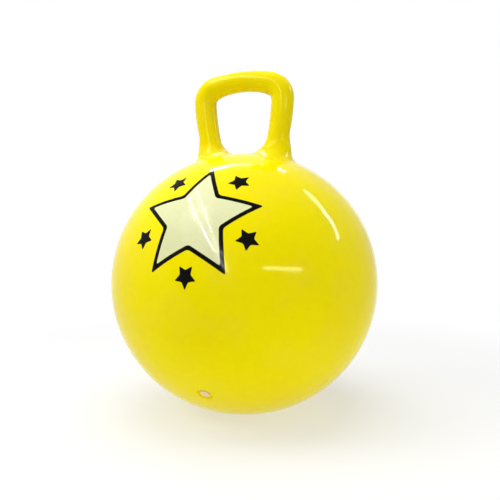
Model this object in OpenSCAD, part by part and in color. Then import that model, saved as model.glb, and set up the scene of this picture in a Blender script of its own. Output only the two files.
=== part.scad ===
// Hopper ball: an inflated vinyl ball with a loop handle, a valve with its plug, and a printed star.
// The ball stands on the floor at z = 0, with the handle on top and the print and valve facing -Y.

/* [Ball] */
// Diameter of the inflated ball at its equator
ball_d = 450; // [400:5:550]
// How much shorter the inflated ball is than it is wide
ball_squat = 12; // [4:0.5:24]
// Thickness of the moulded skin
skin_wall = 1.3; // [1:0.1:3]
// Radius of the patch that flattens where the ball stands
rest_r = 34; // [20:1:60]

/* [Handle] */
// Outside diameter of the grip tube
grip_d = 36; // [30:0.5:40]
// Thickness of the grip tube's wall
grip_wall = 3; // [2:0.5:6]
// Distance between the two feet of the handle, middle to middle
foot_gap = 109; // [100:1:130]
// Height of the handle's shoulders above the crown of the ball
shoulder_h = 90; // [70:1:110]
// Radius of the slight bow in each leg, along the middle of the tube
leg_bow_r = 400; // [300:10:700]
// Radius of the two top corners, along the middle of the tube
corner_r = 26; // [24:1:38]
// Radius of the bow in the top bar, along the middle of the tube
bar_bow_r = 185; // [130:1:260]
// Radius of the flare where each leg grows out of the ball
root_r = 38; // [20:1:42]

/* [Valve] */
// How far below the equator the valve lies
valve_drop = 150; // [100:1:170]
// Diameter of the valve's bore
valve_bore_d = 8.4; // [6:0.2:11]
// Length of the valve's bore, from the floor of the dish
valve_bore_l = 17; // [14:1:30]
// Wall of the tube round the bore
valve_tube_wall = 3; // [2:0.5:5]
// Diameter of the dish that the plug's head sits in, at the skin
dish_d = 25; // [22:0.5:32]
// Depth of the dish
dish_depth = 3.4; // [2.8:0.2:6]
// How much narrower the dish is at its floor
dish_taper = 3; // [1:0.5:5]
// Width of the rim round the dish
dish_rim = 1.6; // [1:0.2:4]
// Thickness of the dish's floor
dish_floor = 3; // [2:0.5:6]
// How far the flange under the skin reaches past the rim
flange_reach = 6; // [3:0.5:12]
// Thickness of the flange under the skin
flange_t = 2; // [1:0.5:4]

/* [Plug] */
// Diameter of the plug's head
plug_head_d = 14.5; // [13:0.5:20]
// Thickness of the plug's head
plug_head_h = 2.6; // [2:0.2:3]
// Length of the plug's stem below its head
plug_stem_l = 20; // [17:1:30]
// Number of sealing ribs on the stem
plug_ribs = 3; // [2:1:4]
// Thickness of each sealing rib
plug_rib_t = 1.6; // [1:0.2:2.4]
// Height of each sealing rib above the stem
plug_rib_h = 0.65; // [0.3:0.05:1]

/* [Print] */
// Height of the middle of the print above the equator
print_rise = 112.5; // [105:0.5:140]
// Number of points on each star
star_points = 5; // [5:1:7]
// Reach of the large star's points
star_r = 84; // [60:1:88]
// Width of the dark outline round the large star
outline_w = 6; // [3:0.5:8]
// Reach of the small stars' points
small_star_r = 17; // [8:1:20]
// Distance of the small stars from the middle of the print
small_star_reach = 85; // [80:1:90]

/* [Hidden] */
$fn = 200;

// Colours
vinyl_yellow = [0.95, 0.86, 0.03];
plug_ivory = [0.92, 0.86, 0.78];
ink_cream = [0.90, 0.90, 0.74];
ink_black = [0.05, 0.05, 0.05];

// Clearances
// Gap where pieces are bonded or printed on one another
bond_gap = 0.05;
// Gap round a sealing rib in the bore
plug_fit = 0.05;
// How far a cutting shape runs past the face that it cuts
overrun = 2;

// Ball, as an arc with its middle beside the upright axis, turned about that axis
half_d = ball_d / 2;
arc_shift = ball_squat / 2;
arc_r = half_d - arc_shift;
rest_depth = arc_r - sqrt(pow(arc_r, 2) - pow(rest_r - arc_shift, 2));
ball_z = arc_r - rest_depth;

// Handle, as arcs that meet smoothly: leg, corner, bar, corner, leg
grip_r = grip_d / 2;
grip_bore_r = grip_r - grip_wall;
// How much fuller the tube is at its corners and roots, all round
corner_swell = 0.15;
// How far each run of tube reaches into the fuller tube next to it
tube_lap = 1;
corner_tube_r = grip_r + corner_swell;
corner_bore_r = grip_bore_r + corner_swell;
// How far the flare's arc sinks into the ball, so that the flare ends in a clean edge
root_sink = 1.5;
foot_tilt = asin((foot_gap / 2 - arc_shift) / arc_r);
root_reach = corner_tube_r + root_r;
leg_foot = sqrt(pow(arc_r - root_sink + root_r, 2) - pow(root_reach, 2));
leg_start = [arc_shift + leg_foot * sin(foot_tilt), leg_foot * cos(foot_tilt)];
leg_mid = leg_start + leg_bow_r * [-cos(foot_tilt), sin(foot_tilt)];
shoulder_tilt = asin((leg_mid[1] - arc_r - shoulder_h) / leg_bow_r);
corner_mid = leg_mid + (leg_bow_r - corner_r) * [cos(shoulder_tilt), -sin(shoulder_tilt)];
bar_tilt = asin(corner_mid[0] / (bar_bow_r - corner_r));
bar_mid = [0, corner_mid[1] - (bar_bow_r - corner_r) * cos(bar_tilt)];
bar_turn = 90 - bar_tilt;

// Valve and plug, measured outwards along the valve's axis from the skin
valve_angle = asin(valve_drop / arc_r);
valve_bore_r = valve_bore_d / 2;
dish_r = dish_d / 2;
dish_floor_r = dish_r - dish_taper / 2;
dish_flare = (dish_r - dish_floor_r) * (dish_depth + overrun) / dish_depth;
rim_r = dish_r + dish_rim;
flange_r = rim_r + flange_reach;
flange_sag = arc_r - sqrt(pow(arc_r, 2) - pow(flange_r, 2));
flange_z = -(skin_wall + bond_gap + flange_sag + flange_t);
plug_head_r = plug_head_d / 2;
plug_rib_r = valve_bore_r - plug_fit;
plug_stem_r = plug_rib_r - plug_rib_h;
plug_seat_z = bond_gap - dish_depth;
// Rounding of the plug head's edge
plug_edge_r = 0.8;
// Finger dimple in the plug's head
plug_dimple_r = 4.2;
plug_dimple_depth = 0.7;
// Taper at the tip of the plug's stem
plug_tip_l = 4;
plug_tip_share = 0.63;
plug_tip_r = plug_stem_r * plug_tip_share;
plug_rib_pitch = (min(valve_bore_l, plug_stem_l - plug_tip_l) - plug_rib_t) / plug_ribs;

// Print, as ink on the skin
ink_t = 0.3;
print_angle = asin(print_rise / arc_r);
// Depth of a star's notches as a share of its reach
star_notch_share = 0.5;
star_edge_share = star_notch_share * sin(180 / star_points)
    / sqrt(1 + star_notch_share * star_notch_share - 2 * star_notch_share * cos(180 / star_points));
outline_r = star_r + outline_w / star_edge_share;
print_depth = half_d / 2;

// Corners of a star with its first point upwards
function star(reach) = [
    for (i = [0 : 2 * star_points - 1])
        let (r = i % 2 == 0 ? reach : reach * star_notch_share, a = 180 * i / star_points)
            r * [sin(a), cos(a)]
];

// Right half of the ball's upright section, drawn in by inset
module ball_half(inset) {
    bow_r = arc_r - inset;
    intersection() {
        union() {
            translate([0, -bow_r]) square([arc_shift, 2 * bow_r]);
            intersection() {
                translate([arc_shift, 0]) circle(bow_r);
                translate([arc_shift, -half_d]) square([half_d, 2 * half_d]);
            }
        }
        translate([0, inset - ball_z]) square([ball_d, ball_d]);
    }
}

// The whole ball, drawn in by inset, or swollen where inset is negative
module ball_solid(inset) {
    translate([0, 0, ball_z]) rotate_extrude() ball_half(inset);
}

// Puts its children on the front of the ball, facing elev degrees above the equator
module on_front(elev) {
    translate([0, -arc_shift, ball_z]) rotate([90 - elev, 0, 0]) translate([0, 0, arc_r]) children();
}

// Puts its children on the axis of the foot at +X, measured from the middle of the ball's arc
module on_foot_axis() {
    translate([arc_shift, 0, ball_z]) rotate([0, foot_tilt, 0]) children();
}

// Arc of round tube in the handle's plane, between two tilts of its direction from upright,
// with both ends carried on by lap
module tube_arc(mid, bow_r, from_tilt, to_tilt, tube_r, lap = 0) {
    lap_turn = 180 / PI * lap / bow_r;
    translate([mid[0], 0, ball_z + mid[1]])
        rotate([90, 0, 0])
            rotate([0, 0, -from_tilt - lap_turn])
                rotate_extrude(angle = from_tilt - to_tilt + 2 * lap_turn)
                    translate([bow_r, 0]) circle(tube_r);
}

// Leg and corner at +X
module handle_side(run_r, bend_r) {
    tube_arc(leg_mid, leg_bow_r, foot_tilt, shoulder_tilt, run_r, tube_lap);
    tube_arc(corner_mid, corner_r, shoulder_tilt, -bar_turn, bend_r);
}

// The handle's tube from one root to the other, with the radii of its runs and of its bends
module handle_tube(run_r, bend_r) {
    handle_side(run_r, bend_r);
    mirror([1, 0, 0]) handle_side(run_r, bend_r);
    tube_arc(bar_mid, bar_bow_r, -bar_turn, bar_turn - 180, run_r, tube_lap);
}

// Trumpet-shaped root at +X, before it is cut to sit on the ball
module handle_root() {
    on_foot_axis() translate([0, 0, leg_foot]) rotate_extrude() difference() {
        translate([0, -2 * root_r]) square([root_reach, 2 * root_r]);
        translate([root_reach, 0]) circle(root_r);
    }
}

// Air way at +X, through the foot and the skin under it
module foot_port() {
    base = arc_r - skin_wall - 2 * overrun;
    on_foot_axis() translate([0, 0, base]) cylinder(h = leg_foot - base, r = corner_bore_r);
}

// Inflated skin of the ball, with the holes for the valve and the handle's two air ways
module ball_skin() {
    color(vinyl_yellow) difference() {
        ball_solid(0);
        ball_solid(skin_wall);
        on_front(-valve_angle) cylinder(h = 2 * rim_r, r = rim_r + bond_gap, center = true);
        foot_port();
        mirror([1, 0, 0]) foot_port();
    }
}

// Hollow loop handle with its two flared feet
module handle_loop() {
    color(vinyl_yellow) difference() {
        union() {
            handle_tube(grip_r, corner_tube_r);
            handle_root();
            mirror([1, 0, 0]) handle_root();
        }
        ball_solid(-bond_gap);
        handle_tube(grip_bore_r, corner_bore_r);
        foot_port();
        mirror([1, 0, 0]) foot_port();
    }
}

// Valve housing: a dish in the skin, a flange bonded under the skin, and a tube that the plug seals in
module valve_seat() {
    barrel_l = dish_depth + dish_floor;
    color(vinyl_yellow) difference() {
        union() {
            intersection() {
                on_front(-valve_angle) translate([0, 0, -barrel_l])
                    cylinder(h = barrel_l + overrun, r = rim_r);
                ball_solid(0);
            }
            intersection() {
                on_front(-valve_angle) translate([0, 0, flange_z])
                    cylinder(h = -flange_z, r = flange_r);
                ball_solid(skin_wall + bond_gap);
            }
            on_front(-valve_angle) translate([0, 0, -dish_depth - valve_bore_l])
                cylinder(h = valve_bore_l - dish_floor / 2, r = valve_bore_r + valve_tube_wall);
        }
        on_front(-valve_angle) {
            translate([0, 0, -dish_depth])
                cylinder(h = dish_depth + overrun, r1 = dish_floor_r, r2 = dish_floor_r + dish_flare);
            translate([0, 0, -dish_depth - valve_bore_l - overrun])
                cylinder(h = valve_bore_l + 2 * overrun, r = valve_bore_r);
        }
    }
}

// Outline of the plug from its axis outwards, with the underside of the head at zero
module plug_outline() {
    difference() {
        union() {
            square([plug_head_r - plug_edge_r, plug_head_h]);
            square([plug_head_r, plug_head_h - plug_edge_r]);
            translate([plug_head_r - plug_edge_r, plug_head_h - plug_edge_r]) circle(plug_edge_r);
        }
        translate([0, plug_head_h - plug_dimple_depth]) square([plug_dimple_r, plug_head_h]);
    }
    translate([0, plug_tip_l - plug_stem_l]) square([plug_stem_r, plug_stem_l - plug_tip_l]);
    polygon([
        [0, -plug_stem_l],
        [plug_tip_r, -plug_stem_l],
        [plug_stem_r, plug_tip_l - plug_stem_l],
        [0, plug_tip_l - plug_stem_l],
    ]);
    for (i = [1 : plug_ribs])
        translate([0, -i * plug_rib_pitch]) square([plug_rib_r, plug_rib_t]);
}

// Stopper that is pushed into the valve
module valve_plug() {
    color(plug_ivory) on_front(-valve_angle)
        translate([0, 0, plug_seat_z]) rotate_extrude() plug_outline();
}

// Layer of ink on the skin, in the shape of its flat children
module ink() {
    difference() {
        intersection() {
            on_front(print_angle) translate([0, 0, -print_depth])
                linear_extrude(height = 2 * print_depth) children();
            ball_solid(-bond_gap - ink_t);
        }
        ball_solid(-bond_gap);
    }
}

// Pale fill of the large star
module print_pale() {
    color(ink_cream) ink() polygon(star(star_r));
}

// Dark outline of the large star, and a small star in each of its notches
module print_dark() {
    color(ink_black) {
        ink() difference() {
            polygon(star(outline_r));
            polygon(star(star_r));
        }
        for (i = [0 : star_points - 1])
            ink() rotate((i + 0.5) * 360 / star_points)
                translate([0, small_star_reach]) polygon(star(small_star_r));
    }
}

ball_skin();
handle_loop();
valve_seat();
valve_plug();
print_pale();
print_dark();
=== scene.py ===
"""Hopper ball: an inflated vinyl ball with a loop handle, a stopper valve and a star printed on its front.

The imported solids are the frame. Every piece that shows is modelled here around them, in metres, with the
floor at z = 0, the handle on top and the print and the valve facing -Y.
"""

import logging
import math
from dataclasses import dataclass, replace
from enum import Enum
from functools import cache
from typing import Callable, NamedTuple, Sequence

import bmesh
import bpy
from bpy.types import Material, NodeTree, Object
from bpy.types import Node as ShaderNode
from mathutils import Matrix, Vector


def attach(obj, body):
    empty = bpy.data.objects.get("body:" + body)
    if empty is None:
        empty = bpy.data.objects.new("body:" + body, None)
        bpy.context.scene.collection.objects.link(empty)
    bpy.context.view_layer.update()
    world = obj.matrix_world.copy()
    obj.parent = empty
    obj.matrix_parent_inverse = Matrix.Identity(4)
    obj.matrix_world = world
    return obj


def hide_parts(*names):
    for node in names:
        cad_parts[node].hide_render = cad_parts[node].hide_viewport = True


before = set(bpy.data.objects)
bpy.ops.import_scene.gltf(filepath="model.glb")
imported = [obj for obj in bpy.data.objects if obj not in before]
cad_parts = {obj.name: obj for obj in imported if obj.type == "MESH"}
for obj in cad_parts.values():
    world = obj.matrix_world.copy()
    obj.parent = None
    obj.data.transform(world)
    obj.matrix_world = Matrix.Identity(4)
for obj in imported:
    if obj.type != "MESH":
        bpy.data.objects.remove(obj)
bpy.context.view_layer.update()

log = logging.getLogger("hopper_ball")

Colour = tuple[float, float, float]
ProfilePoint = tuple[float, float]

FULL_TURN = 2 * math.pi
QUARTER_TURN = math.pi / 2
MERGE_GAP = 1e-6
HAIR = 1e-7
CREASE_ANGLE = 40
ORIGIN = Vector((0, 0, 0))
UP = Vector((0, 0, 1))


class Body(Enum):
    """The bodies that a piece can ride on."""

    BALL = "ball"
    PLUG = "plug"


class Slot(Enum):
    """The record's material slots."""

    VINYL = "vinyl"
    PLUG = "plug"
    PALE_INK = "pale_ink"
    DARK_INK = "dark_ink"


class Node(Enum):
    """The solids that the pieces stand for."""

    BALL_SKIN = "ball_skin"
    HANDLE_LOOP = "handle_loop"
    VALVE_SEAT = "valve_seat"
    VALVE_PLUG = "valve_plug"
    PRINT_PALE = "print_pale"
    PRINT_DARK = "print_dark"


class Socket(Enum):
    """The kinds of value that a node group takes and gives."""

    VECTOR = "NodeSocketVector"
    COLOUR = "NodeSocketColor"
    NUMBER = "NodeSocketFloat"


class Bench:
    """The modelling steps that all pieces share, done with Blender's own operators."""

    @staticmethod
    def clear() -> None:
        """Leaves edit mode and lets go of every object."""
        if bpy.context.object is not None and bpy.context.object.mode != "OBJECT":
            bpy.ops.object.mode_set(mode="OBJECT")
        bpy.ops.object.select_all(action="DESELECT")

    @staticmethod
    def take(name: str) -> Object:
        """Names the primitive that was just added, fixes its place in its mesh and opens it in edit mode.

        Args:
            name: The piece's name.

        Returns:
            The new object, in edit mode with all of it selected.
        """
        piece = bpy.context.active_object
        piece.name = name
        piece.data.name = name
        bpy.ops.object.transform_apply(location=True, rotation=True, scale=True)
        bpy.ops.object.mode_set(mode="EDIT")
        Bench.everything()
        return piece

    @staticmethod
    def everything() -> None:
        """Selects all of the piece in edit mode."""
        bpy.ops.mesh.select_all(action="SELECT")

    @staticmethod
    def only(piece: Object) -> None:
        """Makes a piece the one selected object, in object mode."""
        Bench.clear()
        piece.select_set(True)
        bpy.context.view_layer.objects.active = piece

    @staticmethod
    def reopen(piece: Object) -> None:
        """Opens a piece in edit mode again."""
        Bench.only(piece)
        bpy.ops.object.mode_set(mode="EDIT")

    @staticmethod
    def join(pieces: Sequence[Object]) -> None:
        """Joins pieces into the first of them."""
        Bench.only(pieces[0])
        for piece in pieces[1:]:
            piece.select_set(True)
        bpy.ops.object.join()

    @staticmethod
    def pick(piece: Object, test: Callable[[Vector], bool]) -> None:
        """Selects the points of the piece in edit mode whose place passes a test.

        Args:
            piece: The piece in edit mode.
            test: Says of a point's place whether it is wanted.
        """
        bpy.ops.mesh.select_mode(type="VERT")
        mesh = bmesh.from_edit_mesh(piece.data)
        for vertex in mesh.verts:
            vertex.select = test(vertex.co)
        mesh.select_flush_mode()
        bmesh.update_edit_mesh(piece.data)

    @staticmethod
    def pick_long_edges(piece: Object, least: float) -> None:
        """Selects the edges that are longer than a given length.

        Args:
            piece: The piece in edit mode.
            least: The length that a selected edge passes.
        """
        bpy.ops.mesh.select_mode(type="EDGE")
        mesh = bmesh.from_edit_mesh(piece.data)
        for edge in mesh.edges:
            edge.select = edge.calc_length() > least
        mesh.select_flush_mode()
        bmesh.update_edit_mesh(piece.data)

    @staticmethod
    def push(step: Vector) -> None:
        """Extrudes what is selected and moves it by a step."""
        bpy.ops.mesh.extrude_region()
        bpy.ops.transform.translate(value=step)

    @staticmethod
    def turn(centre: Vector, axis: Vector, angle: float, steps: int) -> None:
        """Spins what is selected about an axis.

        Args:
            centre: A point on the axis.
            axis: The axis.
            angle: How far it turns, in radians.
            steps: How many rows of faces the turn makes.
        """
        bpy.ops.mesh.spin(steps=steps, angle=angle, center=centre, axis=axis)

    @staticmethod
    def seal(merge: float = MERGE_GAP) -> None:
        """Merges doubled points and turns all faces outwards, in edit mode."""
        bpy.ops.mesh.select_mode(type="VERT")
        Bench.everything()
        bpy.ops.mesh.remove_doubles(threshold=merge)
        Bench.everything()
        bpy.ops.mesh.normals_make_consistent(inside=False)
        bpy.ops.object.mode_set(mode="OBJECT")

    @staticmethod
    def draw_out(rings: Sequence[ProfilePoint], base: Vector, axis: Vector) -> None:
        """Extrudes the selected ring along an axis, ring after ring.

        Args:
            rings: Radius and height of the selected ring, and then of each ring to come.
            base: The point on the axis that the heights start from.
            axis: The axis.
        """
        for (radius, height), (next_radius, next_height) in zip(rings, rings[1:]):
            Bench.push((next_height - height) * axis)
            share = next_radius / radius
            bpy.ops.transform.resize(value=(share, share, share), center_override=base + next_height * axis)

    @staticmethod
    def lathe(name: str, profile: Sequence[ProfilePoint], segments: int, closed: bool) -> Object:
        """Turns a profile about the upright axis by extruding and resizing one ring.

        Args:
            name: The piece's name.
            profile: Radius and height of each ring, in order.
            segments: How many points a ring has.
            closed: Whether the last ring joins the first; otherwise both ends are capped.

        Returns:
            The turned piece, in object mode.
        """
        radius, height = profile[0]
        Bench.clear()
        bpy.ops.mesh.primitive_circle_add(
            vertices=segments,
            radius=radius,
            location=(0, 0, height),
            fill_type="NOTHING" if closed else "NGON",
        )
        piece = Bench.take(name)
        Bench.draw_out([*profile, profile[0]] if closed else profile, ORIGIN, UP)
        Bench.seal()
        return piece

    @staticmethod
    def finish(piece: Object, kind: str, **values: object) -> None:
        """Adds a modifier to a piece and applies it.

        Args:
            piece: The piece, in object mode.
            kind: The modifier's type.
            values: The modifier's settings.
        """
        Bench.only(piece)
        modifier = piece.modifiers.new(kind.lower(), kind)
        for key, value in values.items():
            setattr(modifier, key, value)
        bpy.ops.object.modifier_apply(modifier=modifier.name)

    @staticmethod
    def thicken(piece: Object, wall: float) -> None:
        """Gives a sheet its thickness, on the inner side."""
        Bench.finish(piece, "SOLIDIFY", thickness=wall, offset=-1, use_even_offset=True)

    @staticmethod
    def soften(piece: Object, width: float, segments: int, sharper_than: float) -> None:
        """Rounds the edges of a piece that are sharper than an angle.

        Args:
            piece: The piece, in object mode.
            width: How far the rounding reaches from the edge.
            segments: How many faces it has.
            sharper_than: The angle, in degrees.
        """
        Bench.finish(
            piece,
            "BEVEL",
            width=width,
            segments=segments,
            limit_method="ANGLE",
            angle_limit=math.radians(sharper_than),
            use_clamp_overlap=True,
        )

    @staticmethod
    def place(piece: Object, spot: Matrix) -> None:
        """Puts a piece that was modelled at the origin where it belongs, without applying it yet."""
        piece.matrix_world = spot
        bpy.context.view_layer.update()

    @staticmethod
    def settle(piece: Object) -> None:
        """Moves the piece's place into its mesh, so that its object sits at the origin."""
        Bench.only(piece)
        bpy.ops.object.transform_apply(location=True, rotation=True, scale=True)

    @staticmethod
    def smooth(piece: Object, angle: float = CREASE_ANGLE) -> None:
        """Shades a piece smooth, with creases where faces meet at more than an angle in degrees."""
        Bench.only(piece)
        bpy.ops.object.shade_smooth_by_angle(angle=math.radians(angle))


class Wire(NamedTuple):
    """An output of a node, by name or number."""

    node: ShaderNode
    output: str | int


Feed = Wire | float
Span = tuple[Feed, Feed]
Inputs = dict[str | int, Feed | tuple[float, ...]]


class NodeBoard:
    """A node tree that is filled node by node, each with what goes into it."""

    # The sockets of a mix of colours share their names with other sockets, so they go by number.
    FIRST_COLOUR = 6
    SECOND_COLOUR = 7
    MIXED_COLOUR = 2

    def __init__(self, tree: NodeTree) -> None:
        """Starts with an empty tree."""
        self.tree = tree
        self.tree.nodes.clear()

    def add(self, kind: str, inputs: Inputs | None = None, **settings: object) -> ShaderNode:
        """Adds a node, sets it and feeds its inputs.

        Args:
            kind: The node's type.
            inputs: A wire or a value for each input that is fed, by the input's name or number.
            settings: The node's settings.

        Returns:
            The new node.
        """
        node = self.tree.nodes.new(kind)
        for key, setting in settings.items():
            setattr(node, key, setting)
        for entry, feed in (inputs or {}).items():
            if isinstance(feed, Wire):
                self.tree.links.new(feed.node.outputs[feed.output], node.inputs[entry])
            else:
                node.inputs[entry].default_value = feed
        return node

    def maths(self, operation: str, first: Feed, second: Feed) -> Wire:
        """Adds an operation on two values."""
        return Wire(self.add("ShaderNodeMath", {0: first, 1: second}, operation=operation), 0)

    def noise(self, place: Wire, scale: Wire, detail: float, roughness: float = 0.5) -> Wire:
        """Adds a noise."""
        inputs = {"Vector": place, "Scale": scale, "Detail": detail, "Roughness": roughness}
        return Wire(self.add("ShaderNodeTexNoise", inputs), "Fac")

    def mix(self, share: Wire, first: Wire, second: Wire | tuple[float, ...]) -> Wire:
        """Adds a mix of two colours."""
        inputs = {"Factor": share, self.FIRST_COLOUR: first, self.SECOND_COLOUR: second}
        return Wire(self.add("ShaderNodeMix", inputs, data_type="RGBA"), self.MIXED_COLOUR)

    def effect(self, tree: NodeTree, inputs: Inputs) -> Wire:
        """Adds a shared effect, which has one output."""
        return Wire(self.add("ShaderNodeGroup", inputs, node_tree=tree), 0)

    def ramp(self, value: Wire, start: Span = (0, 1), end: Span = (0, 1), gentle: bool = False) -> Wire:
        """Adds a ramp from one span of values to another.

        Args:
            value: What runs over the first span.
            start: The first span.
            end: The span of the result.
            gentle: Whether the result starts and stops gently.

        Returns:
            The result.
        """
        limits = zip(("From Min", "From Max", "To Min", "To Max"), (*start, *end))
        style = "SMOOTHSTEP" if gentle else "LINEAR"
        node = self.add("ShaderNodeMapRange", {"Value": value, **dict(limits)}, interpolation_type=style)
        return Wire(node, "Result")


class Effects:
    """Shader node groups that several finishes share, each built once."""

    PATCH_DETAIL = 3
    PATCH_SPAN = (0.35, 0.75)
    SPECK_DETAIL = 2
    SPECK_SPAN = (0.4, 0.8)
    SPECK_SHARE = 0.5
    DULL_DETAIL = 1
    DULL_SPAN = (0.42, 0.68)
    HAZE_SHARE = 0.3
    LINE_TURN = (0.5, 0.9, 0.3)
    LINE_STRETCH = (1.0, 0.07, 0.6)
    LINE_DETAIL = 4
    LINE_ROUGHNESS = 0.7
    LINE_SPAN = (0.6, 0.72)
    WAVE_DETAIL = 0
    PEEL_DETAIL = 2
    GRAIN_DETAIL = 3
    GRAIN_SHARE = 0.15

    @staticmethod
    def _open(
        name: str,
        inputs: dict[str, Socket],
        output: str,
        kind: Socket,
    ) -> tuple[NodeBoard, dict[str, Wire]]:
        """Starts a group.

        Args:
            name: The group's name.
            inputs: The kind of each input, by its name.
            output: The output's name.
            kind: The output's kind.

        Returns:
            The group's board, and the wire from each input.
        """
        group = bpy.data.node_groups.new(name, "ShaderNodeTree")
        for label, socket in inputs.items():
            group.interface.new_socket(name=label, in_out="INPUT", socket_type=socket.value)
        group.interface.new_socket(name=output, in_out="OUTPUT", socket_type=kind.value)
        board = NodeBoard(group)
        entry = board.add("NodeGroupInput")
        return board, {label: Wire(entry, label) for label in inputs}

    @staticmethod
    @cache
    def mottle() -> NodeTree:
        """Slow drift between a colour and its deeper tone, as pigment in a moulding has.

        Returns:
            The group, with the output Colour.
        """
        inputs = {
            "Vector": Socket.VECTOR,
            "Colour": Socket.COLOUR,
            "Deep": Socket.COLOUR,
            "Patch Scale": Socket.NUMBER,
            "Speck Scale": Socket.NUMBER,
        }
        board, entry = Effects._open("pigment_mottle", inputs, "Colour", Socket.COLOUR)
        patches = board.noise(entry["Vector"], entry["Patch Scale"], Effects.PATCH_DETAIL)
        specks = board.noise(entry["Vector"], entry["Speck Scale"], Effects.SPECK_DETAIL)
        broad = board.ramp(patches, Effects.PATCH_SPAN, gentle=True)
        fine = board.ramp(specks, Effects.SPECK_SPAN, (0, Effects.SPECK_SHARE))
        share = board.maths("MINIMUM", board.maths("ADD", broad, fine), 1)
        board.add("NodeGroupOutput", {"Colour": board.mix(share, entry["Colour"], entry["Deep"])})
        return board.tree

    @staticmethod
    @cache
    def scuffs() -> NodeTree:
        """Fine rubbed lines and dull patches, as floors and hands leave on a glossy skin.

        Returns:
            The group, with the output Mask from 0 to 1.
        """
        inputs = {"Vector": Socket.VECTOR, "Line Scale": Socket.NUMBER, "Dull Scale": Socket.NUMBER}
        board, entry = Effects._open("rubbed_scuffs", inputs, "Mask", Socket.NUMBER)
        stretched = {"Vector": entry["Vector"], "Rotation": Effects.LINE_TURN, "Scale": Effects.LINE_STRETCH}
        along = Wire(board.add("ShaderNodeMapping", stretched), "Vector")
        lines = board.noise(along, entry["Line Scale"], Effects.LINE_DETAIL, Effects.LINE_ROUGHNESS)
        dull = board.noise(entry["Vector"], entry["Dull Scale"], Effects.DULL_DETAIL)
        thin = board.ramp(lines, Effects.LINE_SPAN, gentle=True)
        area = board.ramp(dull, Effects.DULL_SPAN, gentle=True)
        marks = board.maths("MULTIPLY", thin, area)
        haze = board.maths("MULTIPLY", area, Effects.HAZE_SHARE)
        board.add("NodeGroupOutput", {"Mask": board.maths("MAXIMUM", marks, haze)})
        return board.tree

    @staticmethod
    @cache
    def grain() -> NodeTree:
        """Height of an inflated skin's slow waves, faint orange peel and finer grain.

        Returns:
            The group, with the output Height.
        """
        numbers = ("Wave Scale", "Peel Scale", "Grain Scale", "Wave Height")
        inputs = {"Vector": Socket.VECTOR, **{label: Socket.NUMBER for label in numbers}}
        board, entry = Effects._open("moulded_grain", inputs, "Height", Socket.NUMBER)
        wave = board.noise(entry["Vector"], entry["Wave Scale"], Effects.WAVE_DETAIL)
        peel = board.noise(entry["Vector"], entry["Peel Scale"], Effects.PEEL_DETAIL)
        grain = board.noise(entry["Vector"], entry["Grain Scale"], Effects.GRAIN_DETAIL)
        slow = board.maths("MULTIPLY", wave, entry["Wave Height"])
        surface = board.maths("ADD", peel, board.maths("MULTIPLY", grain, Effects.GRAIN_SHARE))
        board.add("NodeGroupOutput", {"Height": board.maths("ADD", surface, slow)})
        return board.tree


@dataclass(frozen=True)
class Finish:
    """A glossy moulded or printed surface: mottled colour, rubbed gloss and a faint grain."""

    name: str
    colour: Colour
    deep: Colour
    worn: Colour
    roughness: float
    worn_roughness: float
    gloss: float
    patch_scale: float
    speck_scale: float
    peel_scale: float
    grain_scale: float
    grain_height: float
    wear_share: float
    sheen_tint: Colour = (1.0, 1.0, 1.0)
    wave_scale: float = 22
    wave_height: float = 0.0

    LINES_PER_PATCH = 40
    DULLS_PER_PATCH = 2

    def build(self) -> Material:
        """Makes the material.

        Returns:
            The material, built from the shared effects.
        """
        material = bpy.data.materials.new(self.name)
        material.use_nodes = True
        board = NodeBoard(material.node_tree)
        place = Wire(board.add("ShaderNodeTexCoord"), "Object")
        pigment = board.effect(Effects.mottle(), {
            "Vector": place,
            "Colour": (*self.colour, 1),
            "Deep": (*self.deep, 1),
            "Patch Scale": self.patch_scale,
            "Speck Scale": self.speck_scale,
        })
        rubs = board.effect(Effects.scuffs(), {
            "Vector": place,
            "Line Scale": self.LINES_PER_PATCH * self.patch_scale,
            "Dull Scale": self.DULLS_PER_PATCH * self.patch_scale,
        })
        height = board.effect(Effects.grain(), {
            "Vector": place,
            "Wave Scale": self.wave_scale,
            "Wave Height": self.wave_height / self.grain_height,
            "Peel Scale": self.peel_scale,
            "Grain Scale": self.grain_scale,
        })
        rubbed = board.maths("MULTIPLY", rubs, self.wear_share)
        bump = board.add("ShaderNodeBump", {"Strength": 1, "Distance": self.grain_height, "Height": height})
        shader = board.add("ShaderNodeBsdfPrincipled", {
            "Base Color": board.mix(rubbed, pigment, (*self.worn, 1)),
            "Roughness": board.ramp(rubs, end=(self.roughness, self.worn_roughness)),
            "Specular IOR Level": self.gloss,
            "Specular Tint": (*self.sheen_tint, 1),
            "Normal": Wire(bump, "Normal"),
        })
        board.add("ShaderNodeOutputMaterial", {"Surface": Wire(shader, "BSDF")})
        return material


YELLOW_VINYL = Finish(
    name="yellow_vinyl",
    colour=(0.87, 0.745, 0.0),
    deep=(0.84, 0.69, 0.0),
    worn=(0.89, 0.79, 0.06),
    roughness=0.08,
    worn_roughness=0.17,
    gloss=0.06,
    patch_scale=9,
    speck_scale=90,
    peel_scale=160,
    grain_scale=900,
    grain_height=0.00006,
    wear_share=0.35,
    sheen_tint=(1.0, 0.96, 0.5),
    wave_height=0.0008,
)

# Painted shade: the handle's colour and deep tone are a darker, more orange copy of the ball's vinyl. They
# stand in for the yellow light that the loop catches back from the ball. Its rougher finish and weaker waves
# are its own.
SHADED_HANDLE_VINYL = replace(
    YELLOW_VINYL,
    name="yellow_handle_vinyl_painted_shade",
    colour=(0.855, 0.715, 0.0),
    deep=(0.825, 0.66, 0.0),
    roughness=0.20,
    worn_roughness=0.30,
    wave_height=0.0002,
)

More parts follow.
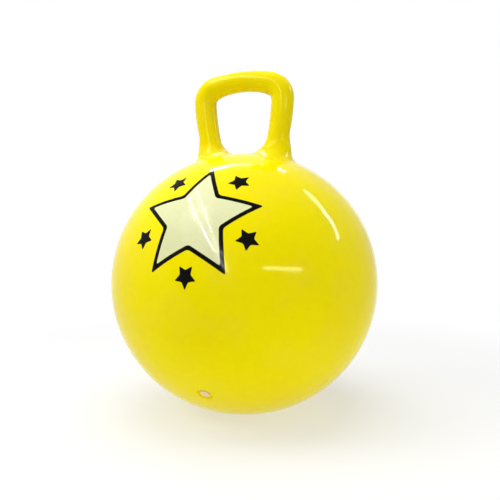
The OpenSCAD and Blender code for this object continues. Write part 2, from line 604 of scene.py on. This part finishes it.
IVORY_STOPPER = Finish(
    name="ivory_stopper",
    colour=(0.85, 0.68, 0.42),
    deep=(0.79, 0.61, 0.35),
    worn=(0.76, 0.60, 0.36),
    roughness=0.36,
    worn_roughness=0.55,
    gloss=0.2,
    patch_scale=120,
    speck_scale=900,
    peel_scale=900,
    grain_scale=4000,
    grain_height=0.00004,
    wear_share=0.5,
)

CREAM_INK = Finish(
    name="cream_ink",
    colour=(0.73, 0.75, 0.43),
    deep=(0.68, 0.70, 0.38),
    worn=(0.78, 0.76, 0.42),
    roughness=0.07,
    worn_roughness=0.13,
    gloss=0.08,
    patch_scale=14,
    speck_scale=260,
    peel_scale=180,
    grain_scale=1600,
    grain_height=0.00006,
    wear_share=0.5,
    wave_height=0.0008,
)

BLACK_INK = replace(
    CREAM_INK,
    name="black_ink",
    colour=(0.002, 0.002, 0.002),
    deep=(0.004, 0.004, 0.003),
    worn=(0.016, 0.015, 0.010),
    roughness=0.08,
    worn_roughness=0.15,
    gloss=0.04,
)


def dress(piece: Object, material: Material, body: Body, stands_for: Node) -> None:
    """Gives a finished piece its material and its body, and hides the solid that it stands for.

    Args:
        piece: The piece, settled at the origin.
        material: Its material.
        body: The body that it rides on.
        stands_for: The solid that it replaces.
    """
    piece.data.materials.clear()
    piece.data.materials.append(material)
    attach(piece, body.value)
    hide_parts(stands_for.value)
    log.info("%s: %d faces, rides on %s", piece.name, len(piece.data.polygons), body.value)


def ease(share: float) -> float:
    """Turns a share from 0 to 1 into one that starts and stops gently."""
    return share * share * (3 - 2 * share)


@dataclass
class BallForm:
    """The ball's outer surface: an arc turned about the upright axis, flat where the ball stands.

    It also holds the thickness of the skin and the gap between bonded pieces, which several pieces share.
    """

    half_width: float = 0.225
    squat: float = 0.012
    rest_r: float = 0.034
    skin_wall: float = 0.0013
    bond_gap: float = 0.00005
    arc_segments: int = 400
    turn_segments: int = 400

    @property
    def shift(self) -> float:
        """How far the arc's middle lies beside the upright axis."""
        return self.squat / 2

    @property
    def arc_r(self) -> float:
        """Radius of the arc."""
        return self.half_width - self.shift

    @property
    def middle(self) -> float:
        """Height of the ball's middle above the floor."""
        return math.sqrt(self.arc_r**2 - (self.rest_r - self.shift) ** 2)

    @property
    def front_middle(self) -> Vector:
        """Middle of the arc that runs down the front."""
        return Vector((0, -self.shift, self.middle))

    def sag(self, reach: float) -> float:
        """How far the surface has fallen away at a distance from the point that it is seen from."""
        return self.arc_r - math.sqrt(self.arc_r**2 - reach**2)

    def facing(self, drop: float) -> float:
        """Angle below the equator of the front point that lies a height below the ball's middle."""
        return math.asin(drop / self.arc_r)

    @staticmethod
    def outward(below: float) -> Vector:
        """The way that the front faces at an angle below the equator."""
        return Vector((0, -math.cos(below), -math.sin(below)))

    def on_front(self, below: float) -> Matrix:
        """The place on the front that faces an angle below the equator, with z outwards and y upwards.

        Args:
            below: The angle, in radians.

        Returns:
            The place as a matrix.
        """
        spot = self.front_middle + self.arc_r * self.outward(below)
        return Matrix.Translation(spot) @ Matrix.Rotation(QUARTER_TURN + below, 4, "X")

    def build(self) -> Object:
        """Makes the form that the pieces are laid on. It isn't a piece itself.

        Returns:
            The form, in object mode.
        """
        Bench.clear()
        bpy.ops.mesh.primitive_circle_add(
            vertices=self.arc_segments,
            radius=self.arc_r,
            location=(self.shift, 0, self.middle),
            rotation=(QUARTER_TURN, 0, 0),
        )
        form = Bench.take("ball_form")
        Bench.pick(form, lambda place: place.x < self.shift - HAIR)
        bpy.ops.mesh.delete(type="VERT")
        top = self.middle + self.arc_r
        Bench.pick(form, lambda place: place.z > top - HAIR)
        Bench.push(Vector((-self.shift, 0, 0)))
        Bench.everything()
        Bench.turn(ORIGIN, UP, FULL_TURN, self.turn_segments)
        Bench.everything()
        bpy.ops.mesh.remove_doubles(threshold=MERGE_GAP)
        Bench.everything()
        bpy.ops.mesh.bisect(plane_co=ORIGIN, plane_no=UP, use_fill=True, clear_inner=True)
        Bench.seal()
        Bench.smooth(form)
        return form


@dataclass
class ValveSeat:
    """The valve's housing: a dish in the skin, a flange under the skin and a tube for the stopper."""

    form: BallForm
    drop: float = 0.150
    dish_r: float = 0.0125
    dish_depth: float = 0.0034
    dish_taper: float = 0.003
    dish_rim: float = 0.0016
    dish_floor: float = 0.003
    flange_reach: float = 0.006
    flange_t: float = 0.002
    bore_r: float = 0.0042
    bore_l: float = 0.017
    tube_wall: float = 0.003
    edge_r: float = 0.0005
    edge_steps: int = 4
    edge_angle: float = 30
    crease_angle: float = 50
    segments: int = 96

    @property
    def rim_r(self) -> float:
        """Outer radius of the dish's rim."""
        return self.dish_r + self.dish_rim

    @property
    def spot(self) -> Matrix:
        """The valve's place on the front."""
        return self.form.on_front(self.form.facing(self.drop))

    def build(self) -> Object:
        """Turns the housing and sets it in the skin.

        Returns:
            The housing.
        """
        form, rim_r = self.form, self.rim_r
        floor_r = self.dish_r - self.dish_taper / 2
        flange_r = rim_r + self.flange_reach
        tube_r = self.bore_r + self.tube_wall
        under = form.skin_wall + form.bond_gap
        tube_end = -self.dish_depth - self.bore_l
        flange_top = -under - form.sag(flange_r)
        flange_low = flange_top - self.flange_t
        barrel_low = -self.dish_depth - self.dish_floor
        profile = [
            (self.bore_r, tube_end),
            (tube_r, tube_end),
            (tube_r, barrel_low),
            (rim_r, barrel_low),
            (rim_r, flange_low),
            (flange_r, flange_low),
            (flange_r, flange_top),
            (rim_r, -under - form.sag(rim_r)),
            (rim_r, -form.sag(rim_r)),
            (self.dish_r, -form.sag(self.dish_r)),
            (floor_r, -self.dish_depth),
            (self.bore_r, -self.dish_depth),
        ]
        seat = Bench.lathe("valve_seat_vinyl", profile, self.segments, closed=True)
        Bench.soften(seat, self.edge_r, self.edge_steps, self.edge_angle)
        Bench.place(seat, self.spot)
        Bench.settle(seat)
        Bench.smooth(seat, self.crease_angle)
        return seat

    def dress(self, seat: Object, vinyl: Material) -> None:
        """Puts the housing on the ball's body."""
        dress(seat, vinyl, Body.BALL, Node.VALVE_SEAT)


@dataclass
class ValvePlug:
    """The stopper: a round head with a finger dimple, on a stem with sealing ribs."""

    seat: ValveSeat
    head_r: float = 0.00725
    head_h: float = 0.0026
    dimple_r: float = 0.0042
    dimple_depth: float = 0.0007
    stem_l: float = 0.020
    ribs: int = 3
    rib_t: float = 0.0016
    rib_h: float = 0.00065
    fit: float = 0.00005
    tip_l: float = 0.004
    tip_share: float = 0.63
    edge_r: float = 0.00025
    edge_steps: int = 4
    edge_angle: float = 30
    crease_angle: float = 50
    segments: int = 80

    def build(self) -> Object:
        """Turns the stopper and pushes it into its seat.

        Returns:
            The stopper.
        """
        rib_r = self.seat.bore_r - self.fit
        stem_r = rib_r - self.rib_h
        base = self.seat.form.bond_gap - self.seat.dish_depth
        pitch = (min(self.seat.bore_l, self.stem_l - self.tip_l) - self.rib_t) / self.ribs
        profile = [
            (stem_r * self.tip_share, base - self.stem_l),
            (stem_r, base - self.stem_l + self.tip_l),
        ]
        for rib in range(self.ribs, 0, -1):
            low = base - rib * pitch
            profile += [(stem_r, low), (rib_r, low), (rib_r, low + self.rib_t), (stem_r, low + self.rib_t)]
        top = base + self.head_h
        profile += [
            (stem_r, base),
            (self.head_r, base),
            (self.head_r, top),
            (self.dimple_r, top),
            (self.dimple_r - self.dimple_depth, top - self.dimple_depth),
        ]
        plug = Bench.lathe("valve_plug_stopper", profile, self.segments, closed=False)
        Bench.soften(plug, self.edge_r, self.edge_steps, self.edge_angle)
        Bench.place(plug, self.seat.spot)
        Bench.settle(plug)
        Bench.smooth(plug, self.crease_angle)
        return plug

    def dress(self, plug: Object, stopper: Material) -> None:
        """Puts the stopper on its own body."""
        dress(plug, stopper, Body.PLUG, Node.VALVE_PLUG)


@dataclass
class BallSkin:
    """The inflated skin: a thin shell with a round hole for the valve."""

    seat: ValveSeat
    edge_r: float = 0.0004
    edge_steps: int = 3
    edge_angle: float = 60
    rings: int = 320
    segments: int = 240

    def build(self, surface: Object) -> Object:
        """Makes the shell with its rows of faces running round the valve, and lays it on the form.

        Args:
            surface: The form of the ball.

        Returns:
            The skin.
        """
        form = self.seat.form
        below = form.facing(self.seat.drop)
        outward = form.outward(below)
        hole_height = form.arc_r - form.sag(self.seat.rim_r + form.bond_gap)
        Bench.clear()
        bpy.ops.mesh.primitive_circle_add(
            vertices=self.rings,
            radius=form.arc_r,
            location=form.front_middle,
            rotation=(math.pi + below, 0, 0),
        )
        skin = Bench.take("ball_skin_vinyl")
        Bench.pick(skin, lambda place: place.x < -HAIR)
        bpy.ops.mesh.delete(type="VERT")
        Bench.everything()
        bpy.ops.mesh.bisect(
            plane_co=form.front_middle + hole_height * outward,
            plane_no=outward,
            clear_outer=True,
        )
        Bench.everything()
        Bench.turn(form.front_middle, outward, FULL_TURN, self.segments)
        Bench.seal()
        Bench.finish(skin, "SHRINKWRAP", target=surface, wrap_method="NEAREST_SURFACEPOINT")
        Bench.thicken(skin, form.skin_wall)
        Bench.soften(skin, self.edge_r, self.edge_steps, self.edge_angle)
        Bench.smooth(skin)
        return skin

    def dress(self, skin: Object, vinyl: Material) -> None:
        """Puts the skin on the ball's body."""
        dress(skin, vinyl, Body.BALL, Node.BALL_SKIN)


@dataclass
class LoopHandle:
    """The hollow loop that a child holds, with two flared roots on the crown of the ball."""

    form: BallForm
    grip_r: float = 0.018
    wall: float = 0.003
    foot_gap: float = 0.109
    shoulder_height: float = 0.090
    leg_bow_r: float = 0.400
    corner_r: float = 0.026
    bar_bow_r: float = 0.185
    root_r: float = 0.038
    root_sink: float = 0.0015
    corner_swell: float = 0.00015
    bar_slim: float = 0.0012
    leg_stout: float = 0.0008
    leg_stout_reach: float = 0.045
    root_swell: float = 0.006
    root_swell_drop: float = 0.016
    root_swell_reach: float = 0.028
    web_fill: float = 0.003
    web_reach: float = 0.015
    segments: int = 80
    bar_steps: int = 14
    corner_steps: int = 28
    leg_steps: int = 26
    flare_steps: int = 26
    hem_lift: float = 0.00004
    hem_sink: float = 0.00008
    hem_width: float = 0.010
    hem_steps: int = 4

    def build(self) -> Object:
        """Sweeps the tube from the middle of the bar to a foot, flares it and mirrors it.

        Returns:
            The handle.
        """
        form = self.form
        tilt = math.asin((self.foot_gap / 2 - form.shift) / form.arc_r)
        reach = self.grip_r + self.corner_swell + self.root_r
        foot = math.sqrt((form.arc_r - self.root_sink + self.root_r) ** 2 - reach**2)
        foot_axis = Vector((math.sin(tilt), 0, math.cos(tilt)))
        foot_base = Vector((form.shift, 0, form.middle))
        leg_start = foot_base + foot * foot_axis
        leg_mid = leg_start + self.leg_bow_r * Vector((-math.cos(tilt), 0, math.sin(tilt)))
        shoulder = form.middle + form.arc_r + self.shoulder_height
        shoulder_tilt = math.asin((leg_mid.z - shoulder) / self.leg_bow_r)
        to_corner = Vector((math.cos(shoulder_tilt), 0, -math.sin(shoulder_tilt)))
        corner_mid = leg_mid + (self.leg_bow_r - self.corner_r) * to_corner
        bar_tilt = math.asin(corner_mid.x / (self.bar_bow_r - self.corner_r))
        bar_mid = Vector((0, 0, corner_mid.z - (self.bar_bow_r - self.corner_r) * math.cos(bar_tilt)))

        Bench.clear()
        bpy.ops.mesh.primitive_circle_add(
            vertices=self.segments,
            radius=self.grip_r,
            location=bar_mid + Vector((0, 0, self.bar_bow_r)),
            rotation=(0, QUARTER_TURN, 0),
        )
        handle = Bench.take("handle_loop_vinyl")
        across = Vector((0, -1, 0))
        Bench.turn(bar_mid, across, bar_tilt, self.bar_steps)
        Bench.turn(corner_mid, across, QUARTER_TURN + shoulder_tilt - bar_tilt, self.corner_steps)
        Bench.turn(leg_mid, across, tilt - shoulder_tilt, self.leg_steps)
        self._flare(foot_base, foot_axis, foot)
        Bench.everything()
        bpy.ops.mesh.normals_make_consistent(inside=False)
        bpy.ops.object.mode_set(mode="OBJECT")
        self._bed(handle, foot_base, foot_axis, foot)
        self._taper(handle, corner_mid.x + self.corner_r, leg_start)
        self._web(handle, corner_mid)
        Bench.finish(
            handle,
            "MIRROR",
            use_axis=(True, False, False),
            use_mirror_merge=True,
            merge_threshold=MERGE_GAP,
        )
        Bench.reopen(handle)
        Bench.seal()
        Bench.thicken(handle, self.wall)
        Bench.smooth(handle)
        return handle

    def _flare(self, base: Vector, axis: Vector, foot: float) -> None:
        """Extrudes the tube's last ring along an arc until it lies on the ball, and then a thin hem beyond.

        Args:
            base: The middle of the ball's arc under this foot.
            axis: The foot's axis, outwards.
            foot: Where the tube ends, measured from the base.
        """
        form = self.form
        flare_r = (foot**2 - form.arc_r**2 + self.grip_r**2) / (2 * (form.arc_r - self.grip_r))
        wide = self.grip_r + flare_r
        landing = math.atan2(wide, foot)
        rings = [(self.grip_r, foot)]
        for step in range(1, self.flare_steps + 1):
            turn = (QUARTER_TURN - landing) * step / self.flare_steps
            rings.append((wide - flare_r * math.cos(turn), foot - flare_r * math.sin(turn)))
        for step in range(1, self.hem_steps + 1):
            share = step / self.hem_steps
            turn = landing + share * self.hem_width / form.arc_r
            rise = form.arc_r + self.hem_lift - share**2 * (self.hem_lift + self.hem_sink)
            rings.append((rise * math.sin(turn), rise * math.cos(turn)))
        Bench.draw_out(rings, base, axis)

    def _bed(self, handle: Object, base: Vector, axis: Vector, foot: float) -> None:
        """Lifts the flare's sides to the ball, whose curve round the upright axis is slacker than its arc.

        Args:
            handle: The handle, in object mode.
            base: The middle of the ball's arc under this foot.
            axis: The foot's axis, outwards.
            foot: Where the tube ends, measured from the base.
        """
        round_r = self.foot_gap / 2 / axis.x
        for vertex in handle.data.vertices:
            if (vertex.co - base).dot(axis) < foot - HAIR:
                side = vertex.co.y
                arc_fall = self.form.sag(side)
                round_fall = round_r - math.sqrt(round_r**2 - side**2)
                vertex.co += (arc_fall - round_fall) * axis

    def _taper(self, handle: Object, side: float, foot: Vector) -> None:
        """Draws the bar in a little and swells the legs and the roots' outer sides, as in a soft loop.

        Args:
            handle: The half handle, in object mode.
            side: How far the legs stand from the middle of the handle.
            foot: Where the tube ends and the flare begins.
        """
        moves = []
        for vertex in handle.data.vertices:
            outward = min(max(vertex.co.x / side, 0), 1)
            upward = min(max((vertex.co.z - foot.z) / self.leg_stout_reach, 0), 1)
            swell = self.leg_stout * upward - self.bar_slim * (1 - ease(outward))
            move = swell * vertex.normal
            if vertex.co.x < HAIR:
                move.x = 0
            if vertex.co.z <= foot.z:
                move = Vector((0, 0, 0))
            off_root = abs(vertex.co.z - foot.z + self.root_swell_drop)
            near_root = 1 - min(off_root / self.root_swell_reach, 1)
            move.x += self.root_swell * ease(near_root) * max(vertex.normal.x, 0)
            moves.append(move)
        for vertex, move in zip(handle.data.vertices, moves):
            vertex.co += move

    def _web(self, handle: Object, corner: Vector) -> None:
        """Fills the inside of the corner a little, so that the opening of the loop is rounder there.

        Args:
            handle: The half handle, in object mode.
            corner: The middle of the corner's bend.
        """
        inward = Vector((-1, 0, -1)).normalized()
        inside = corner - (self.corner_r - self.grip_r) * inward
        for vertex in handle.data.vertices:
            near = 1 - min((vertex.co - inside).length / self.web_reach, 1)
            facing = max(vertex.normal.dot(inward), 0)
            vertex.co += self.web_fill * ease(near) * facing * inward

    def dress(self, handle: Object, vinyl: Material) -> None:
        """Puts the handle on the ball's body."""
        dress(handle, vinyl, Body.BALL, Node.HANDLE_LOOP)


@dataclass
class StarPrint:
    """The print on the front: a cream star with a black outline, and a small black star in each notch."""

    form: BallForm
    rise: float = 0.1125
    points: int = 5
    star_r: float = 0.084
    notch_share: float = 0.5
    outline_w: float = 0.006
    small_star_r: float = 0.017
    small_star_reach: float = 0.085
    tip_round: float = 0.004
    small_tip_round: float = 0.002
    tip_steps: int = 5
    ink_t: float = 0.00012
    pale_lift: float = 0.00006
    dark_lift: float = 0.00012
    trap: float = 0.0006
    grid: float = 0.0025
    straight_share: float = 0.6
    least_rows: int = 4
    least_cuts: int = 2
    band_cuts: int = 3
    launch: float = 0.01

    @property
    def half_step(self) -> float:
        """Angle from a star's point to the notch beside it."""
        return math.pi / self.points

    @property
    def edge_share(self) -> float:
        """Distance of a star's edges from its middle, as a share of its reach."""
        side = math.sqrt(1 + self.notch_share**2 - 2 * self.notch_share * math.cos(self.half_step))
        return self.notch_share * math.sin(self.half_step) / side

    def _cuts(self, reach: float) -> int:
        """How many times the straight edges of a star are cut."""
        return max(self.least_cuts, round(self.straight_share * reach / self.grid))

    def _loop(self, name: str, reach: float, corner: float, cuts: int) -> Object:
        """Makes the outline of a star with slightly rounded corners.

        Args:
            name: The object's name.
            reach: Distance of the points from the middle.
            corner: How far the rounding reaches along the edges.
            cuts: How many times each edge is cut.

        Returns:
            The outline, in edit mode.
        """
        Bench.clear()
        bpy.ops.mesh.primitive_circle_add(vertices=2 * self.points, radius=reach, fill_type="NGON")
        star = Bench.take(name)
        Bench.pick(star, lambda place: math.cos(self.points * math.atan2(place.x, place.y)) < 0)
        bpy.ops.transform.resize(value=(self.notch_share, self.notch_share, 1), center_override=ORIGIN)
        Bench.everything()
        bpy.ops.mesh.bevel(offset_type="OFFSET", offset=corner, segments=self.tip_steps, affect="VERTICES")
        Bench.everything()
        bpy.ops.mesh.delete(type="ONLY_FACE")
        Bench.pick_long_edges(star, corner)
        bpy.ops.mesh.subdivide(number_cuts=cuts)
        return star

    def _filled(self, name: str, reach: float, corner: float) -> Object:
        """Makes a flat star of rows of faces that shrink towards its middle.

        Args:
            name: The object's name.
            reach: Distance of the points from the middle.
            corner: How far the rounding of the corners reaches.

        Returns:
            The star, in object mode.
        """
        rows = max(self.least_rows, round(self.notch_share * reach / self.grid))
        star = self._loop(name, reach, corner, self._cuts(reach))
        bpy.ops.mesh.select_mode(type="VERT")
        Bench.everything()
        for row in range(rows, 1, -1):
            share = (row - 1) / row
            bpy.ops.mesh.extrude_region()
            bpy.ops.transform.resize(value=(share, share, 1), center_override=ORIGIN)
        bpy.ops.mesh.extrude_region()
        bpy.ops.mesh.merge(type="CENTER")
        Bench.seal()
        return star

    def _outline(self) -> Object:
        """Makes the flat band round the large star.

        Returns:
            The band, in object mode.
        """
        outer = self.star_r + self.outline_w / self.edge_share
        cuts = self._cuts(outer)
        inside = self._loop("outline_inside", self.star_r, self.tip_round, cuts)
        band = self._loop("outline_band", outer, self.tip_round, cuts)
        Bench.join([band, inside])
        Bench.reopen(band)
        bpy.ops.mesh.select_mode(type="EDGE")
        Bench.everything()
        bpy.ops.mesh.bridge_edge_loops(number_cuts=self.band_cuts, interpolation="LINEAR")
        Bench.seal()
        return band

    def _lay(self, flat: Object, surface: Object, lift: float) -> None:
        """Lays a flat print on the ball, straight along the way that it faces, and gives it thickness.

        Args:
            flat: The print, flat at the origin.
            surface: The form of the ball.
            lift: How far the ink stands off the form.
        """
        above = Matrix.Translation((0, 0, self.launch))
        Bench.place(flat, self.form.on_front(-self.form.facing(self.rise)) @ above)
        Bench.finish(
            flat,
            "SHRINKWRAP",
            target=surface,
            wrap_method="PROJECT",
            use_project_z=True,
            use_negative_direction=True,
            use_positive_direction=False,
            wrap_mode="ABOVE_SURFACE",
            offset=lift,
        )
        Bench.settle(flat)
        Bench.reopen(flat)
        Bench.seal(HAIR)
        self._face_out(flat)
        Bench.thicken(flat, self.ink_t)
        Bench.smooth(flat)

    def _face_out(self, flat: Object) -> None:
        """Turns a sheet of ink over if it faces the ball."""
        middle = Vector((0, 0, self.form.middle))
        first = flat.data.polygons[0]
        if first.normal.dot(first.center - middle) < 0:
            Bench.reopen(flat)
            Bench.everything()
            bpy.ops.mesh.flip_normals()
            bpy.ops.object.mode_set(mode="OBJECT")

    def build_pale(self, surface: Object) -> Object:
        """Makes the cream star, which runs a little way under its outline.

        Args:
            surface: The form of the ball.

        Returns:
            The cream star.
        """
        reach = self.star_r + self.trap / self.edge_share
        star = self._filled("print_pale_star", reach, self.tip_round)
        self._lay(star, surface, self.pale_lift)
        return star

    def build_dark(self, surface: Object) -> Object:
        """Makes the outline and the small stars.

        Args:
            surface: The form of the ball.

        Returns:
            All the black ink as one piece.
        """
        band = self._outline()
        small = self._filled("small_star", self.small_star_r, self.small_tip_round)
        stars = [small]
        for _ in range(1, self.points):
            extra = small.copy()
            extra.data = small.data.copy()
            bpy.context.scene.collection.objects.link(extra)
            stars.append(extra)
        for number, star in enumerate(stars):
            turn = Matrix.Rotation((2 * number + 1) * self.half_step, 4, "Z")
            Bench.place(star, turn @ Matrix.Translation((0, self.small_star_reach, 0)))
            Bench.settle(star)
        Bench.join([band, *stars])
        band.name = "print_dark_stars"
        band.data.name = band.name
        self._lay(band, surface, self.dark_lift)
        return band

    def dress_pale(self, star: Object, ink: Material) -> None:
        """Puts the cream star on the ball's body."""
        dress(star, ink, Body.BALL, Node.PRINT_PALE)

    def dress_dark(self, stars: Object, ink: Material) -> None:
        """Puts the black ink on the ball's body."""
        dress(stars, ink, Body.BALL, Node.PRINT_DARK)


class LampRole(Enum):
    """What a lamp is hung for."""

    FILL = "soft light with no reflection of its own"
    SHINE = "a highlight with no light of its own"


@dataclass(frozen=True)
class Lamp:
    """A flat lamp with a long side."""

    name: str
    role: LampRole
    place: tuple[float, float, float]
    along: tuple[float, float, float]
    length: float
    width: float
    brightness: float
    shadows: bool = True

    def build(self, target: Vector) -> Object:
        """Hangs the lamp with its long side along its direction, facing a point.

        Args:
            target: The point that it faces.

        Returns:
            The lamp.
        """
        Bench.clear()
        bpy.ops.object.light_add(type="AREA", location=self.place)
        lamp = bpy.context.active_object
        lamp.name = self.name
        lamp.data.shape = "RECTANGLE"
        lamp.data.size = self.length
        lamp.data.size_y = self.width
        lamp.data.use_shadow = self.shadows
        lamp.data.energy = self.brightness * math.pi * self.length * self.width
        back = (Vector(self.place) - target).normalized()
        side = Vector(self.along)
        side = (side - side.dot(back) * back).normalized()
        upward = back.cross(side)
        turned = Matrix((side, upward, back)).transposed().to_4x4()
        lamp.matrix_world = Matrix.Translation(self.place) @ turned
        lamp.visible_camera = False
        lamp.visible_glossy = self.role is LampRole.SHINE
        lamp.visible_diffuse = self.role is LampRole.FILL
        return lamp


@dataclass
class Studio:
    """A pale floor, a white room, soft lamps and the camera."""

    aim: tuple[float, float, float] = (0.0089, 0.0034, 0.2730)
    camera_place: tuple[float, float, float] = (0.3669, -0.9286, 0.3254)
    camera_roll: float = math.radians(-0.44)
    sensor: float = 36
    lens: float = 41.67
    floor_half: float = 12
    floor_tone: float = 0.9
    near_glow: float = 0.5
    shade_reach: float = 0.4
    fade_reach: float = 1.05
    wall_tone: float = 1.0
    dim_tone: float = 0.36

    LAMPS = (
        Lamp("top_fill", LampRole.FILL, (-0.1, -0.1, 1.9), (1, 0, 0), 1.7, 1.5, 3.2),
        Lamp("left_fill", LampRole.FILL, (-1.3, -0.7, 1.25), (0, 1, 0), 1.1, 1.0, 3.2),
        Lamp("right_fill", LampRole.FILL, (0.95, -0.15, 0.16), (0, 1, 0), 0.9, 0.3, 1.9),
        Lamp("front_fill", LampRole.FILL, (0.05, -1.25, 0.12), (1, 0, 0), 1.9, 0.24, 1.5),
        Lamp("high_fill", LampRole.FILL, (0.15, -1.0, 0.85), (1, 0, 0), 0.9, 0.35, 1.4),
        Lamp("left_panel", LampRole.SHINE, (-0.6, -0.83, 1.45), (0, 1, 0), 0.5, 0.6, 6),
        Lamp("left_tube", LampRole.SHINE, (-0.354, -1.007, 1.212), (-0.287, 0.958, 0), 2.26, 0.014, 260),
        Lamp("second_tube", LampRole.SHINE, (-0.285, -0.774, 1.212), (-0.307, 0.952, 0), 1.9, 0.010, 220),
        Lamp("back_tube", LampRole.SHINE, (-0.30, 0.421, 1.212), (0.86, 0.51, 0), 0.36, 0.04, 130, False),
        Lamp("back_spot", LampRole.SHINE, (0.045, 0.63, 1.212), (1, 0.03, 0), 0.22, 0.03, 60),
        Lamp("right_tube", LampRole.SHINE, (1.31, 0.665, 1.212), (0.971, 0.242, 0), 0.6, 0.045, 120),
        Lamp("right_stub", LampRole.SHINE, (0.70, 0.51, 1.212), (0.971, 0.242, 0), 0.35, 0.07, 28),
        Lamp("right_window", LampRole.SHINE, (1.48, -1.19, 0.73), (0.61, 0.757, -0.14), 1.0, 0.06, 85),
    )

    def build(self) -> None:
        """Sets up the floor, the room, the lamps and the camera."""
        self._floor()
        self._room()
        for lamp in self.LAMPS:
            lamp.build(Vector(self.aim))
        self._camera()

    def _tone(self, board: NodeBoard, dim: Feed) -> Wire:
        """Works out how pale the room is: white where it shows, also in a reflection, and dimmer as a light.

        Args:
            board: The board of the room or of the floor.
            dim: How pale it is as a light.

        Returns:
            The tone.
        """
        path = board.add("ShaderNodeLightPath")
        mirrored = board.maths("MAXIMUM", Wire(path, "Is Glossy Ray"), Wire(path, "Is Transmission Ray"))
        seen = board.maths("MAXIMUM", Wire(path, "Is Camera Ray"), mirrored)
        return board.ramp(seen, end=(dim, self.wall_tone))

    def _floor(self) -> None:
        """Lays a pale floor that keeps the shadow near the ball and turns into the room far away."""
        Bench.clear()
        bpy.ops.mesh.primitive_plane_add(size=2 * self.floor_half, location=ORIGIN)
        floor = bpy.context.active_object
        floor.name = "floor"
        material = bpy.data.materials.new("pale_floor")
        material.use_nodes = True
        board = NodeBoard(material.node_tree)
        place = Wire(board.add("ShaderNodeTexCoord"), "Object")
        distance = Wire(board.add("ShaderNodeVectorMath", {0: place}, operation="LENGTH"), "Value")
        reach = (self.shade_reach, self.fade_reach)
        dim = board.ramp(distance, reach, (self.wall_tone, self.dim_tone))
        grey = (self.floor_tone, self.floor_tone, self.floor_tone, 1)
        matt = board.add("ShaderNodeBsdfDiffuse", {"Color": grey})
        far = board.add("ShaderNodeEmission", {"Color": self._tone(board, dim)})
        blend = board.add("ShaderNodeMixShader", {
            0: board.ramp(distance, reach, (self.near_glow, 1), gentle=True),
            1: Wire(matt, "BSDF"),
            2: Wire(far, "Emission"),
        })
        board.add("ShaderNodeOutputMaterial", {"Surface": Wire(blend, "Shader")})
        floor.data.materials.append(material)

    def _room(self) -> None:
        """Makes a room that looks white, also in reflections, and lights the ball more softly than that."""
        world = bpy.data.worlds.new("studio_room")
        world.use_nodes = True
        bpy.context.scene.world = world
        board = NodeBoard(world.node_tree)
        glow = board.add("ShaderNodeBackground", {"Color": self._tone(board, self.dim_tone)})
        board.add("ShaderNodeOutputWorld", {"Surface": Wire(glow, "Background")})

    def _camera(self) -> None:
        """Sets the camera at the photograph's view."""
        Bench.clear()
        bpy.ops.object.camera_add(location=self.camera_place)
        camera = bpy.context.active_object
        camera.name = "view"
        camera.data.sensor_width = self.sensor
        camera.data.lens = self.lens
        sight = (Vector(self.aim) - Vector(self.camera_place)).normalized()
        turned = sight.to_track_quat("-Z", "Y").to_matrix().to_4x4()
        roll = Matrix.Rotation(self.camera_roll, 4, "Z")
        camera.matrix_world = Matrix.Translation(self.camera_place) @ turned @ roll
        bpy.context.scene.camera = camera
        bpy.context.scene.view_settings.view_transform = "Standard"


def main() -> None:
    """Builds the studio and every piece of the hopper ball."""
    logging.basicConfig(level=logging.INFO, format="%(name)s: %(message)s")
    Studio().build()
    vinyl = YELLOW_VINYL.build()
    form = BallForm()
    surface = form.build()

    seat = ValveSeat(form)
    ball = BallSkin(seat)
    ball.dress(ball.build(surface), vinyl)
    handle = LoopHandle(form)
    # The handle takes the copy of the vinyl whose colour holds painted shade.
    handle.dress(handle.build(), SHADED_HANDLE_VINYL.build())
    seat.dress(seat.build(), vinyl)
    plug = ValvePlug(seat)
    plug.dress(plug.build(), IVORY_STOPPER.build())
    print_on = StarPrint(form)
    print_on.dress_pale(print_on.build_pale(surface), CREAM_INK.build())
    print_on.dress_dark(print_on.build_dark(surface), BLACK_INK.build())

    bpy.data.objects.remove(surface)


if __name__ == "__main__":
    main()
